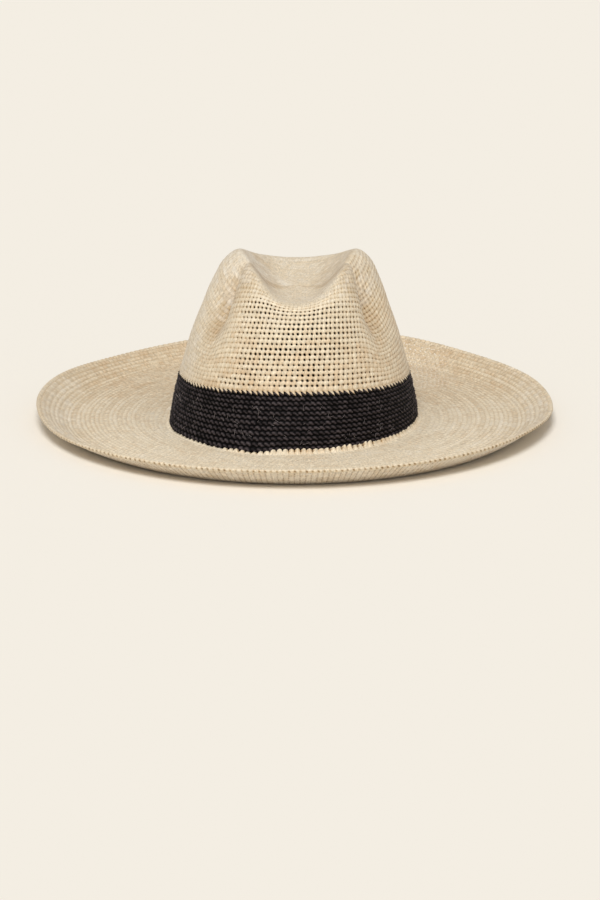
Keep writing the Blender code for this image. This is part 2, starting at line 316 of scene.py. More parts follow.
# The same in stitches and rounds, with its own scale for each, turned in degrees.
def strandNoise(tree, source, scales, detail, roughness, angle=0.0):
    settings = {"Rotation": (0, 0, math.radians(angle)), "Scale": (*scales, 1.0)}
    placed = addNode(tree, "ShaderNodeMapping", settings, {"Vector": source})
    return noise(tree, placed.outputs[0], 1.0, detail, roughness)


# Colour by the relief, along a ramp through stops of position and colour: painted shade where the relief is
# low, painted light where it is high.
def reliefColour(tree, stops):
    ramp = addNode(tree, "ShaderNodeValToRGB", None, {0: attribute(tree, "relief")})
    elements = ramp.color_ramp.elements
    for i in (0, -1):
        elements[i].position, elements[i].color = stops[i][0], linear(stops[i][1])
    for position, colour in stops[1:-1]:
        elements.new(position).color = linear(colour)
    return ramp.outputs[0]


# New material with the pattern's coordinates and one random value a stitch.
def stitchMaterial(name):
    material = bpy.data.materials.new(name)
    material.use_nodes = True
    tree = material.node_tree
    pattern = addNode(tree, "ShaderNodeUVMap", {"uv_map": "pattern"}).outputs[0]
    stitch = addNode(tree, "ShaderNodeVectorMath", {"operation": "FLOOR"}, {0: pattern})
    own = addNode(tree, "ShaderNodeTexWhiteNoise", {"noise_dimensions": "2D"},
                  {"Vector": stitch.outputs[0]})
    return material, tree, pattern, own.outputs["Value"]


# Gives the material's shader its colour, roughness and bump.
def finishShader(tree, colour, roughness, height, distance):
    shader = tree.nodes["Principled BSDF"]
    bump = addNode(tree, "ShaderNodeBump", {"Strength": 1.0, "Distance": distance}, {"Height": height})
    for key, source in (("Base Color", colour), ("Roughness", roughness), ("Normal", bump.outputs[0])):
        tree.links.new(source, shader.inputs[key])
    return shader


strawLook = {
    "crest": "#f0e1c6",         # painted light on the tops of the plumpest stitches
    "level": "#e4d3b6",         # flat crochet
    "groove": "#c9b18e",        # painted shade between rounds
    "shadow": "#93744a",        # at the corners of the stitches
    "pit": "#4a3118",           # painted shade in the gaps
    "pale": "#efe6d6",          # a paler, cooler straw here and there
    "warm": "#dcb98a",          # and a yellower one
    "fleck": "#7a5630",
    "light": "#fbf7ee",         # painted daylight in a pinhole
    "ownReach": 0.32,           # how far the straw's tone strays from stitch to stitch
    "patchReach": 0.2,          # and from patch to patch or strip to strip
    "roughness": 0.62,
    "fibreBump": 0.00012,
}


# Natural toquilla straw, split into strips, dried and crocheted: matt with a soft
# shine along the strips, cream with paler and yellower strips, painted shade brown in
# the grooves and gaps, painted light on the crests.
def naturalStraw():
    look = strawLook
    material, tree, pattern, own = stitchMaterial("natural_toquilla_straw")
    place = addNode(tree, "ShaderNodeTexCoord").outputs["Object"]
    # fibres along the strip: six times longer than wide, laid at a slant
    fibres = strandNoise(tree, pattern, (1.6, 9.0), 4.0, 0.65, 24)
    # mottling in patches of about 30 mm
    patches = noise(tree, place, 34.0, 3.0, 0.6)
    # strips of one tone run on for a dozen stitches along a round
    strips = strandNoise(tree, pattern, (0.07, 0.8), 2.0, 0.5)
    # grain of about a millimetre, where the flat strips turn over
    grain = noise(tree, place, 900.0, 2.0, 0.65)
    # the stitches' legs: short strokes across the rounds, three to a stitch
    legs = strandNoise(tree, pattern, (3.3, 0.7), 2.0, 0.6)

    # colour by the relief: painted light on the crests, painted shade in the grooves, corners and pits
    depth = reliefColour(tree, [(0.03, look["pit"]), (0.25, look["shadow"]), (0.55, look["groove"]),
                                (0.8, look["level"]), (1.0, look["crest"])])
    mood = remap(tree, own, 0.0, 1.0, -look["ownReach"], look["ownReach"])
    for source in (patches, strips):
        mood = combine(tree, "ADD", mood,
                       remap(tree, source, 0.3, 0.7, -look["patchReach"], look["patchReach"]))
    # with the place's tone, which holds painted shade on the right flank and at the brim's back and painted
    # light on the left flank
    mood = combine(tree, "ADD", mood, attribute(tree, "toneAndShading"))
    colour = tint(tree, remap(tree, mood, 0.1, 1.1, 0.0, 0.55), depth, look["warm"], "MULTIPLY")
    colour = tint(tree, remap(tree, mood, -0.1, -1.1, 0.0, 0.7), colour, look["pale"])
    shade = combine(tree, "MULTIPLY", remap(tree, grain, 0.3, 0.7, 0.85, 1.12),
                    remap(tree, legs, 0.3, 0.7, 0.80, 1.17))
    shade = combine(tree, "MULTIPLY", shade, remap(tree, fibres, 0.3, 0.7, 0.95, 1.04))
    colour = shaded(tree, colour, shade)

    # a dark slit between each two stitches of a round, longer or shorter by chance
    apart = addNode(tree, "ShaderNodeSeparateXYZ", None, {0: pattern})
    across, along = fromWhole(tree, apart.outputs["X"]), fromWhole(tree, apart.outputs["Y"])
    between = remap(tree, across, 0.20, 0.04, 0.0, 1.0)
    slit = between
    for factor in (remap(tree, along, 0.02, 0.3, 0.4, 1.0), remap(tree, own, 0.0, 1.0, 0.25, 1.0),
                   attribute(tree, "slit")):
        slit = combine(tree, "MULTIPLY", slit, factor)
    colour = tint(tree, slit, colour, look["shadow"])
    # painted light through the loosest corners of the back
    light = combine(tree, "MULTIPLY", between, remap(tree, along, 0.24, 0.08, 0.0, 1.0))
    light = combine(tree, "MULTIPLY", light, attribute(tree, "light"))
    colour = tint(tree, light, colour, look["light"])
    colour = tint(tree, attribute(tree, "stain"), colour, look["fleck"])

    rough = remap(tree, fibres, 0.3, 0.7, look["roughness"] + 0.12, look["roughness"] - 0.08)
    height = combine(tree, "ADD", fibres, grain)
    shader = finishShader(tree, colour, rough, height, look["fibreBump"])
    shader.inputs["IOR"].default_value = 1.46
    shader.inputs["Sheen Weight"].default_value = 0.08
    return material


blackLook = {
    "crest": "#4c4445",
    # groove: painted shade between the ropes
    "groove": "#030202",
    # shine: painted sheen on the rope tops and the loose fibres
    "shine": "#9b9290",
    "roughness": 0.5,
    "specular": 0.07,           # dyed straw is nearly without gloss
    "fibreBump": 0.00025,
}


# The same straw dyed black before crocheting: a dull black with a brown or bluish
# cast, a soft gloss on the twisted strips, painted shade in the grooves and painted
# sheen on the rope tops and the loose fibres.
def blackStraw():
    look = blackLook
    material, tree, pattern, own = stitchMaterial("black_dyed_straw")
    fibres = strandNoise(tree, pattern, (1.6, 7.0), 4.0, 0.7, -35)
    colour = reliefColour(tree, [(0.27, look["groove"]), (0.95, look["crest"])])
    # painted sheen along the fibres on top of a rope, and on the loose fibres
    paintedSheen = combine(tree, "MULTIPLY", remap(tree, fibres, 0.60, 0.74, 0.0, 0.9), attribute(tree, "relief"))
    paintedSheen = combine(tree, "MAXIMUM", paintedSheen, attribute(tree, "hair"))
    colour = tint(tree, paintedSheen, colour, look["shine"])
    colour = shaded(tree, colour, remap(tree, own, 0.0, 1.0, 0.85, 1.15))
    rough = remap(tree, fibres, 0.3, 0.7, look["roughness"] + 0.15, look["roughness"] - 0.05)
    shader = finishShader(tree, colour, rough, fibres, look["fibreBump"])
    shader.inputs["Specular IOR Level"].default_value = look["specular"]
    return material


natural = naturalStraw()
black = blackStraw()
print("materials: natural and black straw")

# Columns that every shell shares: four to a stitch, closer together at the gap.
stitches = 130
columnSteps = np.array([0.0, 0.2, 0.5, 0.8])
columnAt = (np.arange(stitches)[:, None] + columnSteps).ravel()
columnStep = np.tile(columnSteps, stitches)
columnShare = np.append(columnAt, stitches) / stitches
bumpAcross = np.interp(columnStep, [0.0, 0.2, 0.5, 0.8], [0.0, 0.62, 1.0, 0.62])

# for shells that are quads only
noFaces, noPattern = np.zeros((0, 3), int), np.zeros((0, 3, 2))

crown = {
    "rounds": 41,               # from the tip down to the line of the band
    "strawRounds": 40,          # of them in natural straw; its teeth fill the last one
    "tipRounds": 21,            # of them on the top
    "skew": -0.12,              # stitches that each round lies further round
    "dive": 3.0,                # rounds that hang lower in the side pinches
    "divePanel": 9.0,           # how far that reaches, in degrees, on the panel's side
    "diveFlank": 21.0,          # and on the other
    "rope": 0.00060,            # height of a round over its grooves
    "post": 0.55,               # share of a groove that the stitches' posts fill
    "bead": 0.22,               # dip of a round between two stitches
    "gapSlant": 0.25,
    "panelMiddle": 6.0,         # degrees from the front
    "openReach": 30.0,          # how far the open work goes from there, in degrees
    "openWave": 8.0,            # and how much that changes down the wall
    "openFrom": 0.32,           # openness at which a gap is cut through
    "foldPaintedShade": 0.24,          # painted shade in the folds
    "foldLeft": 1.3,            # share of that in the left fold
    "foldRight": 1.2,           # and in the right one
    "foldPanel": 8.0,           # how wide the fold's shade is on the panel's side, in degrees
    "foldFlank": 13.0,          # and on the other
    "frontShade": 0.12,         # on the fronts of the two peaks
    "topShade": 0.04,
    "flankShade": 0.02,
    "hollowShade": 0.13,        # on the walls of the crease
    "toothLean": 0.65,          # stitches that the teeth's tips lie further round
    "toothLift": 0.0005,
}


# Random table with one value a stitch, between two limits.
def perStitch(rounds, low, high):
    return chance.uniform(low, high, (rounds, stitches))


# Slow waves round and down the wall, the sum of eight sines with random places.
def slowWaves(turn, down):
    waves = np.zeros(np.broadcast(turn, down).shape)
    for _ in range(8):
        around, fall, start = chance.integers(2, 11), chance.uniform(0.1, 0.9), chance.uniform(0, 6.3)
        waves += np.sin(around * turn + fall * down + start)
    return waves / 4


# Share of the way down the crown at which a round lies: in step with its number,
# but hanging lower by a bell-shaped sag in the two side pinches.
def roundAlong(turn, down):
    share = down / crown["rounds"]
    off = np.abs(fromFront(turn)) - smoothCurve(pinchSections, 1, share)
    bell = np.exp(-(off / np.where(off > 0, crown["diveFlank"], crown["divePanel"])) ** 2)
    hang = bell * ease(0.18, 0.46, share) * ease(1.0, 0.58, share)
    return share + crown["dive"] / crown["rounds"] * hang


# How strongly the crochet shows at a place, 0 to 1: most in the panel, less on the
# right flank, little on the left and at the back, least where the top faces inwards.
def crochetStrength(angle, down, outward):
    panel = ease(64.0, 34.0, np.abs(angle - crown["panelMiddle"]))
    panel = panel * (0.25 + 0.75 * ease(17.0, 24.0, down))
    right = ease(44.0, 60.0, angle) * ease(130.0, 100.0, angle)
    lowLeft = ease(-75.0, -50.0, angle) * ease(-25.0, -45.0, angle) * ease(29.0, 34.0, down)
    wall = 0.42 + 0.50 * panel + 0.42 * right * (1 - panel) + 0.18 * lowLeft
    return 0.10 + (wall - 0.10) * ease(0.0, 0.45, outward)


# Share from 0 to 1 of a fold's painted shade: a narrow bell round each pinch line times its depth.
def foldShare(turn, down):
    share = down / crown["rounds"]
    off = np.abs(fromFront(turn)) - smoothCurve(pinchSections, 1, share)
    bell = np.exp(-(off / np.where(off > 0, crown["foldFlank"], crown["foldPanel"])) ** 2)
    return bell * smoothCurve(pinchSections, 2, share).clip(0, 1)


# The crown: rounds of beaded rope laid along the outer face, raised by the product
# of a rope's section and a bump a stitch, teeth over the band, and the inner face
# a straw's thickness inside. Loose corners between four stitches are cut through.
def buildCrown():
    rounds, tip, last = crown["rounds"], crown["tipRounds"], crown["strawRounds"]
    wallRounds = last - tip
    rowsAt = np.concatenate([np.arange(1, 2 * tip) * 0.5,
                             (tip + np.arange(wallRounds)[:, None] + columnSteps).ravel(), [last]])
    innerAt = np.concatenate([
        [last - 0.05],
        (tip + np.arange(wallRounds - 1, -1, -1)[:, None] + [0.8, 0.2, 0.0]).ravel(),
        np.linspace(tip - 2.5, 2.5, 8)])

    # openness of the gap at each corner between four stitches
    gapRounds, gapStitches = np.meshgrid(np.arange(rounds + 1), np.arange(stitches), indexing="ij")
    gapTurn = 2 * math.pi * (gapStitches + crown["skew"] * (gapRounds - rounds)) / stitches
    angle = fromFront(gapTurn) - crown["panelMiddle"]
    reach = crown["openReach"] + crown["openWave"] * slowWaves(gapTurn * 0, gapRounds * 1.7)
    panel = ease(20.0, 0.0, np.abs(angle) - reach)
    firstRound = tip + 1.2 + 1.2 * ease(-30.0, 0.0, angle) * ease(45.0, 10.0, angle)
    panel *= ease(0.0, 1.5, gapRounds - firstRound + 0.8) * (gapRounds < last) * (gapRounds >= tip)
    luck = chance.uniform(-1, 1, panel.shape)
    roundLuck = chance.uniform(-1, 1, rounds + 1)[:, None]
    openness = panel * (0.92 + 0.22 * slowWaves(gapTurn, gapRounds) + 0.20 * roundLuck)
    openness += 0.24 * luck * ease(0.0, 0.3, panel)
    isOpen = openness > crown["openFrom"]
    gapSize = np.where(isOpen, np.clip(0.82 + 0.65 * (openness - crown["openFrom"]), 0.8, 1.4), 1.0)
    gapPit = np.clip(0.25 + 1.6 * openness, 0.25, 1.0) * chance.uniform(0.6, 1.0, panel.shape)
    shift = chance.uniform(-0.08, 0.08, panel.shape) * ease(0.0, 0.3, panel)

    def params(rows):
        # place of each vertex on the wall, moved where a gap widens, slants or wanders
        step = np.round(rows % 1.0, 3)
        nearRound = np.round(rows).astype(int)
        nearStitch = np.round(columnAt).astype(int) % stitches
        offRow = np.where(step > 0.5, step - 1, step)[:, None]
        offColumn = np.where(columnStep > 0.5, columnStep - 1, columnStep)[None, :]
        near = (np.abs(offRow) <= 0.2) & (np.abs(offColumn) <= 0.2)
        corner = near & (np.abs(offRow) > 0.1) & (np.abs(offColumn) > 0.1)
        opened = isOpen[nearRound][:, nearStitch] & near
        scale = np.where(opened, gapSize[nearRound][:, nearStitch] * np.where(corner, 0.8, 1.0), 1.0)
        down = np.where(near, nearRound[:, None] + offRow * scale, rows[:, None])
        slant = np.where(opened, crown["gapSlant"] * offRow * scale, 0.0)
        across = np.round(columnAt)[None, :] + offColumn * scale + slant
        across = np.where(near, across + shift[nearRound][:, nearStitch], columnAt[None, :])
        turn = 2 * math.pi * (across + crown["skew"] * (down - rounds)) / stitches
        return turn, down

    turn, down = params(rowsAt)
    outer = crownPoint(turn, roundAlong(turn, down))
    # teeth: the last rows run on over the band, longest at mid stitch
    toothShare = np.array([0.3, 0.65, 1.0])
    length = np.interp(columnStep, [0, 0.2, 0.5, 0.8], [0.0, 0.2, 1.0, 0.3])
    length = length * np.repeat(chance.uniform(0.6, 1.15, stitches), 4)
    toothTurn = turn[-1] + 2 * math.pi / stitches * crown["toothLean"] * toothShare[:, None] * length
    teeth = bandPoint(toothTurn, (toothShare[:, None] * length - 1) / band["rounds"])
    teethNormals = gridNormals(np.concatenate([outer[-1:], teeth]))[1:]
    teeth = teeth + teethNormals * crown["toothLift"] * np.array([1.0, 1.0, 0.5])[:, None, None]

    # relief of the crochet: ropes with beads, grooves that the posts half fill, pits
    normals = gridNormals(outer)
    away = outer[..., :2] / np.linalg.norm(outer[..., :2], axis=-1, keepdims=True)
    outward = np.sum(normals[..., :2] * away, axis=-1)
    strength = crochetStrength(fromFront(turn), down, outward)
    step = np.round(rowsAt % 1.0, 3)[:, None]
    rope = np.interp(step, [0.0, 0.2, 0.5, 0.8, 1.0], [0.0, 0.72, 1.0, 0.72, 0.0])
    roundOf = np.floor(rowsAt - 1e-6).astype(int).clip(0, rounds - 1)
    stitchOf = np.floor(columnAt + 1e-6).astype(int)
    plump = perStitch(rounds, 0.75, 1.1)[roundOf][:, stitchOf]
    share = 1 - (1 - rope) * (1 - crown["post"] * bumpAcross)
    share = share * (1 - crown["bead"] * (1 - bumpAcross)) * (0.4 + 0.6 * plump)
    nearRound = np.round(rowsAt).astype(int)
    nearStitch = np.round(columnAt).astype(int) % stitches
    pit = gapPit[nearRound][:, nearStitch] * (step == 0.0) * (columnStep == 0.0)[None, :]
    outer = outer + normals * (crown["rope"] * strength * (share - 0.55 - 0.5 * pit))[..., None]
    # colour by the relief: painted light on the crests, painted shade in the grooves and pits
    relief = 0.8 + 0.62 * strength * (share - 0.7) - 0.75 * pit * strength
    side = np.abs(fromFront(turn))
    # painted shade in the folds, on the top, on the crease's walls, on the peaks' fronts and on the flanks
    fold = foldShare(turn, down) * np.where(outer[..., 0] < 0, crown["foldLeft"], crown["foldRight"])
    relief = relief - crown["foldPaintedShade"] * fold - crown["topShade"] * ease(23.0, 18.0, down)
    inward = ease(0.12, 0.50, -outward) * np.where(outer[..., 0] < 0, 1.15, 0.8)
    front = ease(28.0, 42.0, side) * ease(62.0, 48.0, side) * ease(26.0, 21.0, down)
    flank = ease(45.0, 75.0, side) * ease(17.0, 23.0, down)
    relief = relief - crown["hollowShade"] * inward - crown["frontShade"] * front
    relief = relief - crown["flankShade"] * flank
    slit = 0.35 * (strength - 0.1) * ease(0.95, 0.5, strength)

    innerTurn, innerDown = params(innerAt)
    inner = crownPoint(innerTurn, roundAlong(innerTurn, innerDown))
    inner = inner + gridNormals(inner) * block["straw"]
    innerStep = np.round(innerAt % 1.0, 3)[:, None]
    innerRelief = np.where(innerStep == 0.0, 0.6, 0.8) + 0 * innerTurn
    # dark rims inside, where the gaps are in the hat's own shade
    innerRound, innerOff = np.round(innerAt).astype(int), np.abs(innerAt - np.round(innerAt)) < 0.25
    rim = isOpen[innerRound][:, nearStitch] * innerOff[:, None] * (np.abs(columnStep - 0.5) > 0.25)[None, :]
    innerRelief = innerRelief - 0.7 * rim

    toothRelief = np.array([0.8, 0.85, 0.8])[:, None] * (0.5 + 0.5 * bumpAcross)
    grid = np.concatenate([outer, teeth, inner])
    reliefAll = np.concatenate([relief, toothRelief, innerRelief]).clip(0, 1)
    downAll = np.concatenate([rowsAt, last + toothShare * 0.9, innerAt])
    turnAll = np.concatenate([turn, toothTurn, innerTurn])
    rowCount, columnCount = grid.shape[:2]
    quads = gridQuads(rowCount, columnCount)
    middles = 0.5 * (downAll[1:] + downAll[:-1])
    # whole stitches in each round of the tip, fewer towards the middle
    count = np.where(middles >= tip, stitches,
                     np.maximum(6, np.round(stitches * (np.floor(middles) + 0.6) / tip)))
    phase = np.where(middles >= tip, 0.0, (np.floor(middles) * 0.37) % 1.0)
    pattern = gridPattern(downAll, count, phase, columnShare)

    # cut the open gaps through both faces and wall them
    outerRow = {round(r * 1000): i for i, r in enumerate(rowsAt)}
    innerRow = {round(r * 1000): i for i, r in enumerate(innerAt)}
    gapR, gapS = np.nonzero(isOpen)
    rowTop = np.array([outerRow[r * 1000] for r in gapR])
    rowInner = np.array([innerRow[r * 1000] for r in gapR]) + len(rowsAt) + len(teeth)
    keep = np.ones(len(quads), bool).reshape(rowCount - 1, columnCount)
    column = gapS * 4
    for rowOf in (rowTop, rowInner):
        for dr in (-1, 0):
            for dc in (-1, 0):
                keep[rowOf + dr, (column + dc) % columnCount] = False
    keep = keep.ravel()
    loop = [(-1, -1), (0, -1), (1, -1), (1, 0), (1, 1), (0, 1), (-1, 1), (-1, 0)]
    ringOuter = np.stack([(rowTop + dr) * columnCount + (column + dc) % columnCount
                          for dr, dc in loop], 1)
    # down the outer face is up the inner one
    ringInner = np.stack([(rowInner - dr) * columnCount + (column + dc) % columnCount
                          for dr, dc in loop], 1)
    walls = np.stack([ringOuter, np.roll(ringOuter, -1, 1), np.roll(ringInner, -1, 1), ringInner], -1)
    walls = walls.reshape(-1, 4)
    wallPattern = np.stack([np.repeat(gapS, 8), np.repeat(gapR, 8)], -1)[:, None, :].repeat(4, 1)
    quads = np.concatenate([quads[keep], walls])
    pattern = np.concatenate([pattern[keep], wallPattern])

    # poles
    pole = crownPoint(np.zeros(1), np.zeros(1))
    points = np.concatenate([grid.reshape(-1, 3), pole, pole - [[0, 0, block["straw"]]]])
    reliefAll = np.append(reliefAll.ravel(), [0.8, 0.8])
    slitAll = np.concatenate([slit, 0 * toothRelief, 0 * innerRelief + 0.2])
    slitAll = np.append(slitAll.ravel(), [0.0, 0.0])
    toneAndShading = np.append(crownToneAndShading(fromFront(turnAll), downAll[:, None]).ravel(), [-0.4, 0.0])
    j = np.arange(columnCount)
    beside = (j + 1) % columnCount
    lastRow = (rowCount - 1) * columnCount
    outerFan = np.stack([np.full_like(j, rowCount * columnCount), j, beside], -1)
    innerFan = np.stack([lastRow + j, np.full_like(j, rowCount * columnCount + 1), lastRow + beside], -1)
    fans = np.concatenate([outerFan, innerFan])
    across = 6 * columnShare[:-1]
    fanPattern = np.stack([np.stack([across, across * 0], -1), np.stack([across, across * 0 + 0.5], -1),
                           np.stack([across + 0.05, across * 0 + 0.5], -1)], 1)
    fanPattern = np.concatenate([fanPattern, fanPattern])
    values = {"relief": reliefAll, "stain": stains(points), "toneAndShading": toneAndShading, "slit": slitAll}
    piece = meshObject("straw_crown", points, quads, pattern, fans, fanPattern, values, natural)
    print("crown:", len(gapR), "open gaps,", 2 * len(quads) + len(fans), "triangles")
    return piece


# Yellower or paler straw, -1 to 1: warm low in the panel and pale on the top; warm
# and darker in the right flank as painted shade, pale in the left flank as painted light.
def crownToneAndShading(angle, down):
    panel = ease(70.0, 40.0, np.abs(angle)) * ease(24.0, 36.0, down)
    right = ease(40.0, 62.0, angle) * ease(130.0, 100.0, angle) * ease(18.0, 23.0, down)
    top = ease(23.0, 18.0, down)
    left = ease(-58.0, -74.0, angle) * ease(-150.0, -120.0, angle)
    return 0.4 * panel + 0.3 * right - 0.4 * left - 0.35 * top + 0 * down


# x, y, z and radius of brown flecks in single strips
fleckPlaces = [(0.0101, -0.074, 0.107, 0.0016), (0.1147, 0.092, 0.006, 0.0018),
               (0.1168, -0.072, 0.003, 0.0016)]


# Share from 0 to 1 of a fleck: the largest of the bells round the chosen points.
def stains(points):
    stain = np.zeros(len(points))
    for x, y, z, radius in fleckPlaces:
        distance = np.linalg.norm(points - [x, y, z], axis=-1)
        stain = np.maximum(stain, 0.8 * np.exp(-(distance / radius) ** 2))
    return stain


band = {
    "rounds": 11,               # below its line; one more lies under the straw's teeth
    "rope": 0.00165,
    "twist": 0.72,              # share of the rope that the slanted strips make
    "wave": 0.22,
    "skew": -0.12,
    "under": 0.0022,            # how far it runs on behind the first brim round
    "flare": 0.0050,            # of its foot at the left front, outwards
    "drop": 0.0016,             # and down
    "hairs": 170,               # loose fibres
    "hairLength": (0.0015, 0.0055),
    "hairLift": (0.0003, 0.0012),
    "hairRadius": 0.00009,
}


# Share from 0 to 1 by which the foot of the band flares out at the left front.
def footFlare(turn):
    angle = fromFront(turn)
    return ease(-95.0, -66.0, angle) * ease(0.0, -20.0, angle)


# The band's outer face with that flare, which grows as the cube of the way down.
def flaredBand(turn, down):
    points = bandPoint(turn, down)
    flare = footFlare(turn) * np.clip(down, 0, 1) ** 3
    away = np.stack([np.sin(turn), -np.cos(turn), 0 * turn], axis=-1)
    push = band["flare"] * away - np.array([0.0, 0.0, band["drop"]])
    return points + push * flare[..., None]


# Frayed fibres that stand off the band: three-sided tubes along short arcs, which
# rise from the band as the square of the way along them and thin out at the end.
def strayFibres():
    many, rings = band["hairs"], 6
    steps = np.linspace(0, 1, rings)[None, :]
    turn = chance.uniform(0, 2 * math.pi, (many, 1))
    down = chance.uniform(0.22, 0.95, (many, 1))
    lean = chance.uniform(-1.3, 1.3, (many, 1))
    length = chance.uniform(*band["hairLength"], (many, 1))
    bend = chance.uniform(-0.6, 0.6, (many, 1))
    turns = turn + length * (steps * np.sin(lean) + bend * steps * (1 - steps)) / block["halfWidth"]
    downs = down - length * steps * np.cos(lean) / block["bandFront"]
    away = np.stack([np.sin(turns), -np.cos(turns), 0 * turns], axis=-1)
    lift = 0.0004 + chance.uniform(*band["hairLift"], (many, 1)) * steps**2
    line = flaredBand(turns, downs) + away * lift[..., None]
    along = np.gradient(line, axis=1)
    along /= np.linalg.norm(along, axis=-1, keepdims=True)
    beside = np.cross(along, away)
    beside /= np.linalg.norm(beside, axis=-1, keepdims=True)
    over = np.cross(beside, along)
    corner = 2 * math.pi * np.arange(3) / 3
    radius = band["hairRadius"] * (1 - 0.7 * steps**3)[..., None, None]
    tubes = line[:, :, None] + radius * (np.cos(corner)[:, None] * beside[:, :, None]
                                         + np.sin(corner)[:, None] * over[:, :, None])
    hair, ring, side = np.meshgrid(np.arange(many), np.arange(rings - 1), np.arange(3),
                                   indexing="ij")
    first, nextSide = (hair * rings + ring) * 3, (side + 1) % 3
    quads = np.stack([first + side, first + 3 + side, first + 3 + nextSide, first + nextSide], -1)
    start = np.arange(many)[:, None] * rings * 3
    caps = np.concatenate([start + [0, 1, 2], start + 3 * (rings - 1) + [0, 2, 1]])
    return tubes.reshape(-1, 3), quads.reshape(-1, 4), caps


# The band: rounds of twisted rope on a grid that goes down the outer face and up the
# inner one. A rope's section, a half sine, slides up and down once a stitch and is
# cut into slanted strips by another half sine.
def buildBand():
    rounds = band["rounds"]
    rowSteps = np.arange(6) / 6
    rowsAt = np.append((np.arange(-1, rounds)[:, None] + rowSteps).ravel(), rounds)
    share = columnAt[None, :]
    turn = 2 * math.pi * (share + band["skew"] * rowsAt[:, None]) / stitches
    down = np.repeat(rowsAt[:, None] / rounds, len(columnAt), axis=1)
    base = flaredBand(turn, down)
    normals = gridNormals(base)
    step = (rowsAt % 1.0)[:, None]
    # each round waves up and down once a stitch, like a rope of two strips
    wave = band["wave"] * np.sin(2 * math.pi * (columnStep - 0.2))[None, :]
    rope = np.sin(math.pi * np.clip(step + wave * np.sin(math.pi * step), 0, 1)) ** 0.9
    slanted = (columnStep[None, :] - 0.9 * (step - 0.5)) % 1.0
    twist = np.sin(math.pi * slanted) ** 1.3
    roundOf = np.floor(rowsAt + 1e-6).astype(int).clip(-1, rounds - 1) + 1
    stitchOf = np.floor(columnAt + 1e-6).astype(int)
    plump = perStitch(rounds + 1, 0.65, 1.2)[roundOf][:, stitchOf]
    loose = perStitch(rounds + 1, 0.0, 1.0)[roundOf][:, stitchOf]
    shareUp = rope * (1 - band["twist"] * (1 - twist)) * plump
    sunk = 0.0006 * (rowsAt < -0.5)[:, None]
    outer = base + normals * (band["rope"] * (shareUp - 0.55) - sunk)[..., None]
    under = band["under"] * (1 - 0.6 * footFlare(turn[-1:]))
    under = np.stack([0 * under, 0 * under, under], axis=-1)
    hem = outer[-1:] - under
    innerAt = np.linspace(rounds, -1, 2 * rounds + 3)
    innerTurn = 2 * math.pi * (share + band["skew"] * innerAt[:, None]) / stitches
    innerBase = flaredBand(innerTurn, np.repeat(innerAt[:, None] / rounds, len(columnAt), axis=1))
    inner = innerBase + gridNormals(innerBase) * block["straw"]
    hemInner = inner[:1] - under
    grid = np.concatenate([outer, hem, hemInner, inner])
    lumps = chance.uniform(0.75, 1.25, shareUp.shape)
    # colour by the rope's height, with random lumps: painted shade in the grooves and under the hem
    relief = np.concatenate([shareUp * (0.9 + 0.25 * loose) * lumps, shareUp[-1:] * 0,
                             shareUp[-1:] * 0 + 0.3, np.full(inner.shape[:2], 0.5)])
    downAll = np.concatenate([rowsAt, [rounds + 0.5, rounds + 0.5], innerAt])
    quads = gridQuads(len(grid), len(columnAt), ring=True)
    count = np.full(len(grid), float(stitches))
    pattern = gridPattern(downAll, count, count * 0, columnShare, ring=True)
    fibres, fibreQuads, caps = strayFibres()
    points = np.concatenate([grid.reshape(-1, 3), fibres])
    relief = np.append(relief.clip(0, 1), np.ones(len(fibres)))
    isFibre = np.arange(len(points)) >= relief.size - len(fibres)
    before = len(points) - len(fibres)
    quads = np.concatenate([quads, fibreQuads + before])
    pattern = np.concatenate([pattern, np.zeros((len(fibreQuads), 4, 2))])
    piece = meshObject("black_band", points, quads, pattern, caps + before,
                       np.zeros((len(caps), 3, 2)), {"relief": relief, "hair": 0.85 * isFibre}, black)
    print("band:", 2 * len(quads) + len(caps), "triangles")
    return piece


brim = {
    "width": 0.0945,            # from the wall to the outer edge
    "arch": 0.001,
    "curlWidth": 0.0245,
    "edgeRise": 0.012,
    "rest": 0.006,
    "edgeRound": 0.0032,        # width kept for the finishing round
    "tuck": 0.0007,             # how far the brim runs into it
    "corner": 0.0022,           # round corner under the beads
    "innerCorner": 0.0018,      # and at the opening's edge below
    "rounds": 28,               # flat ones, after the beads
    "stitchesAtEdge": 276,
    "curlRounds": 9,            # of them in the curl, in line with the edge's stitches below
    "bead": 0.0010,             # how far the beads stand out
    "beadRise": 0.0023,         # and up over the band at the front
    "toothRise": 0.0017,        # and elsewhere
    "beadSink": 0.0006,         # of the low points between them
    "sag": 0.0024,              # how much lower the beads lie where the band flares
    "rope": 0.00024,
    "slitTop": 0.22,            # strength of the dark slits on top
    "slitUnder": 0.85,          # and on the underside
    "topRelief": 0.82,
    # the underside's lower relief is painted shade under the brim
    "underRelief": 0.66,
    "speckle": 0.09,
    "farShade": 0.17,           # the back and the ends are darker than the front
}


# Height of the underside at a distance from the wall's inner face: a small arch
# near the wall, level where it rests, then the long branch of a hyperbola.
def brimUnder(turn, distance):
    outside = brim["width"] + block["straw"] - brim["curlWidth"]
    start, level = 0.0054, outside - brim["rest"]
    arch = brim["arch"] * (1 - np.clip((distance - start) / (level - start), 0, 1)) ** 2
    soft = 0.25 * brim["curlWidth"]
    full = math.hypot(brim["curlWidth"], soft) - soft
    curl = (np.hypot(np.maximum(distance - outside, 0), soft) - soft) / full
    edge = brim["edgeRise"] * smoothCurve(edgeSections, 1, np.degrees(turn % (2 * math.pi)))
    return arch + curl * edge


# Point on the wall's inner oval, widened by a distance, at a height.
def ovalPoint(turn, out, height):
    wide = block["halfWidth"] - block["straw"] + out
    long = block["halfLength"] - block["straw"] + out
    return np.stack([wide * np.sin(turn), -long * np.cos(turn), height], axis=-1)


